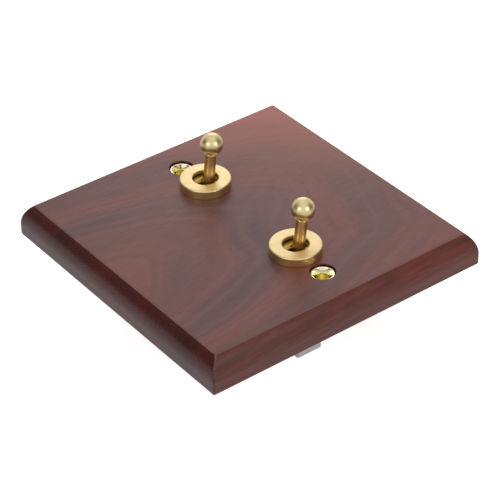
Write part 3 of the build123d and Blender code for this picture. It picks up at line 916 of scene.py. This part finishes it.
for side in SIDES:
    nut = make_ring_nut(side)
    print(nut.name, "is", round(2 * NUT_RADIUS, 2), "mm across and has", len(nut.data.polygons), "faces")

# %% [markdown]
# ## The eyelets
#
# An eyelet is pressed from thin brass and lines a screw hole: a flat rim sunk a little below the wood's
# face, a cone for the screw's head and a tube through the plate. It is a closed outline as well. The rim's
# small round glints, and the wide round at the foot of the cone makes the soft edge of the dark hole.

# %% Make the eyelets
EYELET_BORE = 1.95
EYELET_TUBE = 2.4
EYELET_FLARE = 2.65
EYELET_RIM = 3.1
FLARE_DEPTH = 1.5
RIM_ROUND, FLARE_ROUND, CONE_FOOT_ROUND = 0.12, 0.2, 0.5


def make_eyelet(side):
    """A pressed cup: rounded rim, conical flare and a tube through the plate."""
    top = EYELET_HIGH[2]
    under_rim = top - EYELET_RIM_THICKNESS
    corners = [
        (EYELET_BORE, 0, HIDDEN_ROUND),
        (EYELET_TUBE, 0, HIDDEN_ROUND),
        (EYELET_TUBE, under_rim, HIDDEN_ROUND),
        (EYELET_RIM, under_rim, HIDDEN_ROUND),
        (EYELET_RIM, top, RIM_ROUND),
        (EYELET_FLARE, top, FLARE_ROUND),
        (EYELET_BORE, top - FLARE_DEPTH, CONE_FOOT_ROUND),
    ]
    eyelet = turned_piece(f"{side}_cup", rounded_outline(corners), EYELET_X[side], True)
    dress(eyelet, EYELET_BRASS)
    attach(eyelet, "housing")
    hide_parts(f"{side}_eyelet")
    return eyelet


for side in SIDES:
    eyelet = make_eyelet(side)
    print(eyelet.name, "is", 2 * EYELET_RIM, "mm across and has", len(eyelet.data.polygons), "faces")

# %% [markdown]
# ## The levers
#
# A lever is turned in one piece: a ball, a bead under it, a stem that widens downwards, a round knuckle on
# the pivot and a hollow tail that holds the plunger's spring. Its outline starts at the top of the ball
# and ends on the axis in the tail. Where the stem passes through the bushing's slot, two flats are milled
# on it, and here the points in that stretch are simply held within the flats' width.

# %% Draw the ball and the bead
REACH = 19.8
BALL, BALL_STEPS = 3.1, 40
BEAD, BEAD_HEIGHT, BEAD_STEPS = 1.75, 0.5, 9
STEM_TOP = 1.45
NECK_OUT, NECK_DOWN, NECK_STEPS = 0.12, 0.25, 6


def ball_and_bead():
    """From the top of the ball to the top of the stem. The ball's arc ends where its radius is the bead's,
    the bead is half a circle, and a small bend leads from it into the stem."""
    ball = arc_points((0, REACH), BALL, np.pi / 2, -np.arccos(BEAD / BALL), BALL_STEPS)
    half = BEAD_HEIGHT / 2
    foot = ball[-1, 1]
    bead = arc_points((BEAD - half, foot - half), half, np.pi / 2, -np.pi / 2, BEAD_STEPS)
    neck = np.array([STEM_TOP, foot - BEAD_HEIGHT])
    blend = bend_points(neck + [NECK_OUT, 0], neck, neck - [0, NECK_DOWN], NECK_STEPS)
    return np.concatenate([ball, bead, blend])


print("the top of the ball is", REACH + BALL, "mm from the pivot")

# %% Draw the stem, the knuckle and the tail
STEM = 1.65
TAPER_END = 10.2
KNUCKLE, KNUCKLE_STEPS = 3.2, 14
TANG = 0.95
TANG_FOOT, TANG_END = 0.3, 9.17
TAIL = 2.3
TAIL_BORE = 1.5
TAIL_LENGTH = 9.0
TAIL_CHAMFER = 0.1
BORE_ROOF = 1.6
STEP_MARGIN, KNUCKLE_MARGIN = 0.01, 0.05


def stem_to_tail():
    """From the end of the taper to the roof of the bore, and the height at which the flats begin. Rows a
    hair apart keep the flats' two ends and the knuckle's two edges crisp."""
    high, low = np.arccos(STEM / KNUCKLE), -np.arccos(TAIL / KNUCKLE)
    knuckle = arc_points((0, 0), KNUCKLE, high, low, KNUCKLE_STEPS)
    tang_foot = knuckle[0, 1] + TANG_FOOT
    stem_rows = [TAPER_END, TANG_END, TANG_END - STEP_MARGIN, tang_foot + STEP_MARGIN, tang_foot]
    stem = [(STEM, height) for height in [*stem_rows, knuckle[0, 1] + KNUCKLE_MARGIN]]
    tail = [
        (TAIL, knuckle[-1, 1] - KNUCKLE_MARGIN),
        (TAIL, -TAIL_LENGTH + TAIL_CHAMFER),
        (TAIL - TAIL_CHAMFER, -TAIL_LENGTH),
        (TAIL_BORE, -TAIL_LENGTH),
        (TAIL_BORE, -BORE_ROOF),
        (0, -BORE_ROOF),
    ]
    return np.concatenate([stem, knuckle, tail]), tang_foot


print("the flats run from", stem_to_tail()[1].round(2), "to", TANG_END, "mm above the pivot")


# %% Make the levers
def joint(name):
    """A joint of the frame, by its name."""
    return next(row for row in frame["joints"] if row["name"] == name)


PIVOT_HEIGHT = joint("left_lever_swing")["pos_m"][2] / MM
TILT = np.radians(7.0)
SHARP_LEVER = 40
LEVER_STEPS = 72


def make_lever(side):
    """Ball, bead, tapered stem, knuckle and hollow tail, turned as one, milled and leaned to its rest."""
    lower, tang_foot = stem_to_tail()
    grid = turned_points(np.concatenate([ball_and_bead(), lower]), LEVER_STEPS)
    in_slot = (grid[:, 0, 2] > tang_foot) & (grid[:, 0, 2] < TANG_END)
    grid[in_slot, :, 0] = np.clip(grid[in_slot, :, 0], -TANG, TANG)
    lever = placed_piece(f"{side}_toggle", grid, TOGGLE_X[side], False, -TILT, PIVOT_HEIGHT)
    lever.data.set_sharp_from_angle(angle=np.radians(SHARP_LEVER))
    dress(lever, LEVER_BRASS)
    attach(lever, f"{side}_lever")
    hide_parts(f"{side}_lever")
    return lever


for side in SIDES:
    lever = make_lever(side)
    print(lever.name, "turns about a pin", round(PIVOT_HEIGHT, 2), "mm above the plate's back")

# %% [markdown]
# ## The plunger springs
#
# Inside each lever a small spring pushes a plunger down on the rocker, and it shortens as the plunger
# slides in. A part that changes its length can't simply ride on a moving body, so the coil is made here
# as a tube round a helix, and the share of its length that is left at the plunger's full travel is worked
# out.

# %% Wind the coil
COIL_RADIUS = 1.15
WIRE_RADIUS = 0.2
COIL_TURNS = 5
SPRING_LENGTH = 4.0
WIRE_SIDES = 10
STEPS_PER_TURN = 32


def coil_points():
    """A tube round a helix: centre (R cos t, R sin t, climb * t), and round it wire_radius * (cos a along
    the spoke + sin a along tangent x spoke). The first and last rows shrink to a point to close the ends."""
    turn = np.linspace(0, 2 * np.pi * COIL_TURNS, COIL_TURNS * STEPS_PER_TURN + 1)[:, None]
    climb = (SPRING_LENGTH - 2 * WIRE_RADIUS) / (2 * np.pi * COIL_TURNS)
    spoke = np.concatenate([np.cos(turn), np.sin(turn), 0 * turn], 1)
    tangent = np.concatenate([-COIL_RADIUS * np.sin(turn), COIL_RADIUS * np.cos(turn), climb + 0 * turn], 1)
    tangent /= np.linalg.norm(tangent, axis=1, keepdims=True)
    bottom = -BORE_ROOF - SPRING_LENGTH + WIRE_RADIUS
    centre = COIL_RADIUS * spoke + np.concatenate([0 * turn, 0 * turn, bottom + climb * turn], 1)
    around = np.linspace(0, 2 * np.pi, WIRE_SIDES, endpoint=False)[None, :, None]
    reach = np.cos(around) * spoke[:, None] + np.sin(around) * np.cross(tangent, spoke)[:, None]
    tube = centre[:, None] + WIRE_RADIUS * reach
    first, last = (np.repeat(end[:, None], WIRE_SIDES, 1) for end in (centre[:1], centre[-1:]))
    return np.concatenate([first, tube, last])


print("a coil has", coil_points().shape[0], "rows of", WIRE_SIDES, "points")

# %% Make the springs
SPRING_SLACK = 0.02


def make_spring(side):
    """A coil in the lever's tail, and the share of its length that is left when it shortens by the plunger's
    travel and a hair more to stay clear.
    """
    spring = placed_piece(f"{side}_coil", coil_points(), TOGGLE_X[side], False, -TILT, PIVOT_HEIGHT)
    dress(spring, ZINC)
    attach(spring, f"{side}_lever")
    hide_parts(f"{side}_plunger_spring")
    travel = joint(f"{side}_plunger_slide")["range_m"][1] / MM
    kept = (SPRING_LENGTH - travel - SPRING_SLACK) / SPRING_LENGTH
    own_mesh(spring)
    return kept


for side in SIDES:
    kept = make_spring(side)
    print(side, "spring: at full travel", round(kept, 3), "of its length is left")

# %% [markdown]
# ## The floor
#
# The switch was photographed on a white ground. A floor lit like the object would turn out grey, and more
# light would spoil the object, so the floor glows instead, and only for some rays: in full for the
# camera, and less in reflections, where the glow also fades with the length of the ray, because a real
# sheet of paper ends. The soft light on the wood stays as it is, and so does the object's shadow.

# %% Lay the floor
FLOOR_REACH = 6000.0
FLOOR_TONE, FLOOR_DULL = (0.82, 0.82, 0.82, 1), 0.9
GLOW_SEEN = 0.8
GLOW_MIRRORED, GLOW_FAR = 0.36, 0.35
GLOW_FADE = (0.035, 0.11)


def paper():
    """A pale floor that glows for the camera and in reflections. From below it is clear, so that the
    switch can be looked at from the wall's side."""
    material, tree, shader = new_material("floor")
    shader.inputs["Base Color"].default_value = FLOOR_TONE
    shader.inputs["Roughness"].default_value = FLOOR_DULL
    path = node(tree, "LightPath")
    seen = math(tree, "MULTIPLY", path.outputs["Is Camera Ray"], GLOW_SEEN)
    fading = spread(tree, path.outputs["Ray Length"], *GLOW_FADE, GLOW_MIRRORED, GLOW_MIRRORED * GLOW_FAR)
    mirrored = math(tree, "MULTIPLY", path.outputs["Is Glossy Ray"], fading)
    glow = node(tree, "Emission", {"Color": (1, 1, 1, 1), "Strength": math(tree, "MAXIMUM", seen, mirrored)})
    both = node(tree, "AddShader", {0: shader.outputs[0], 1: glow.outputs[0]})
    below = node(tree, "NewGeometry").outputs["Backfacing"]
    clear = node(tree, "BsdfTransparent").outputs[0]
    surface = node(tree, "MixShader", {0: below, 1: both.outputs[0], 2: clear})
    tree.links.new(surface.outputs[0], tree.nodes["Material Output"].inputs["Surface"])
    return material


def make_floor():
    """One square face, level with the backs of the switch cases, on which the object stands."""
    signs = ((-1, -1), (1, -1), (1, 1), (-1, 1))
    corners = np.array([(sx * FLOOR_REACH, sy * FLOOR_REACH, CASE_LOW[2]) for sx, sy in signs])
    floor = dress(make_piece("floor", corners, [[0, 1, 2, 3]]), paper())
    return floor


floor = make_floor()
print("floor at", CASE_LOW[2].round(2), "mm")

# %% [markdown]
# ## The room
#
# Most of the light comes from overhead, so the face is evenly lit and the edges fall off. Polished metal
# needs something to mirror besides white: we give reflections a room with two tall bright sides and
# dimmer ones between, and the balls take on soft bands. The camera itself sees plain white.

# %% Build the room
LENS_AXIS = (0.8, -0.6, 0.0)
SIDE_SHARE = 0.3
TALL_EDGE, TALL_LEVEL = (0.2, 0.6), (0.07, 0.9)
OVERHEAD_EDGE, OVERHEAD_LEVEL = (0.5, 0.9), (0.1, 0.95)


def make_world():
    """A bright patch overhead lights everything. Reflections also see two tall bright sides, before and
    behind the object on the camera's axis, of which other light gets a third. The camera sees white."""
    world = bpy.data.worlds.new("world")
    bpy.context.scene.world = world
    world.use_nodes = True
    tree = world.node_tree
    path = node(tree, "LightPath")
    towards = node(tree, "TexCoord").outputs["Generated"]
    along = node(tree, "VectorMath", {0: towards, 1: LENS_AXIS}, operation="DOT_PRODUCT").outputs["Value"]
    tall_lights = spread(tree, math(tree, "ABSOLUTE", along), *TALL_EDGE, *TALL_LEVEL)
    overhead = spread(tree, split(tree, towards)[2], *OVERHEAD_EDGE, *OVERHEAD_LEVEL)
    soft = math(tree, "MAXIMUM", math(tree, "MULTIPLY", tall_lights, SIDE_SHARE), overhead)
    shiny = math(tree, "MAXIMUM", path.outputs["Is Glossy Ray"], path.outputs["Is Transmission Ray"])
    room = math(tree, "MAXIMUM", soft, math(tree, "MULTIPLY", tall_lights, shiny))
    level = math(tree, "MAXIMUM", room, path.outputs["Is Camera Ray"])
    background = tree.nodes["Background"]
    background.inputs["Color"].default_value = (1, 1, 1, 1)
    tree.links.new(level, background.inputs["Strength"])
    return world


room = make_world()
print("room:", len(room.node_tree.nodes), "nodes")

# %% [markdown]
# ## The lamps
#
# Two small lamps put a spot on each side of every ball. A low warm one behind the far corner lays a sheen
# on the wood there, where a painted sheen also pales the board. All three are soft squares of one size, and
# far too weak to take over from the room.

# %% Hang the lamps
LAMP_SIZE = 0.16
WHITE, WARM = (1, 1, 1), (1.0, 0.90, 0.83)


def add_lamp(name, place, power, colour=WHITE):
    """A square soft lamp that points from its place, in metres, at the object."""
    data = bpy.data.lights.new(name, "AREA")
    data.size = LAMP_SIZE
    data.energy = power
    data.color = colour
    lamp = bpy.data.objects.new(name, data)
    bpy.context.scene.collection.objects.link(lamp)
    aim = -Vector(place)
    turn = aim.to_track_quat("-Z", "Y").to_matrix().to_4x4()
    lamp.matrix_world = Matrix.Translation(Vector(place)) @ turn
    print(name, "lamp:", power, "W from", round(aim.length, 2), "m")


add_lamp("right", place=(0.61, 0.10, 0.33), power=0.7)
add_lamp("left", place=(0.11, -0.60, 0.34), power=0.65)
add_lamp("back", place=(-0.19, 0.15, 0.11), power=0.072, colour=WARM)
bpy.context.scene.view_settings.view_transform = "Standard"
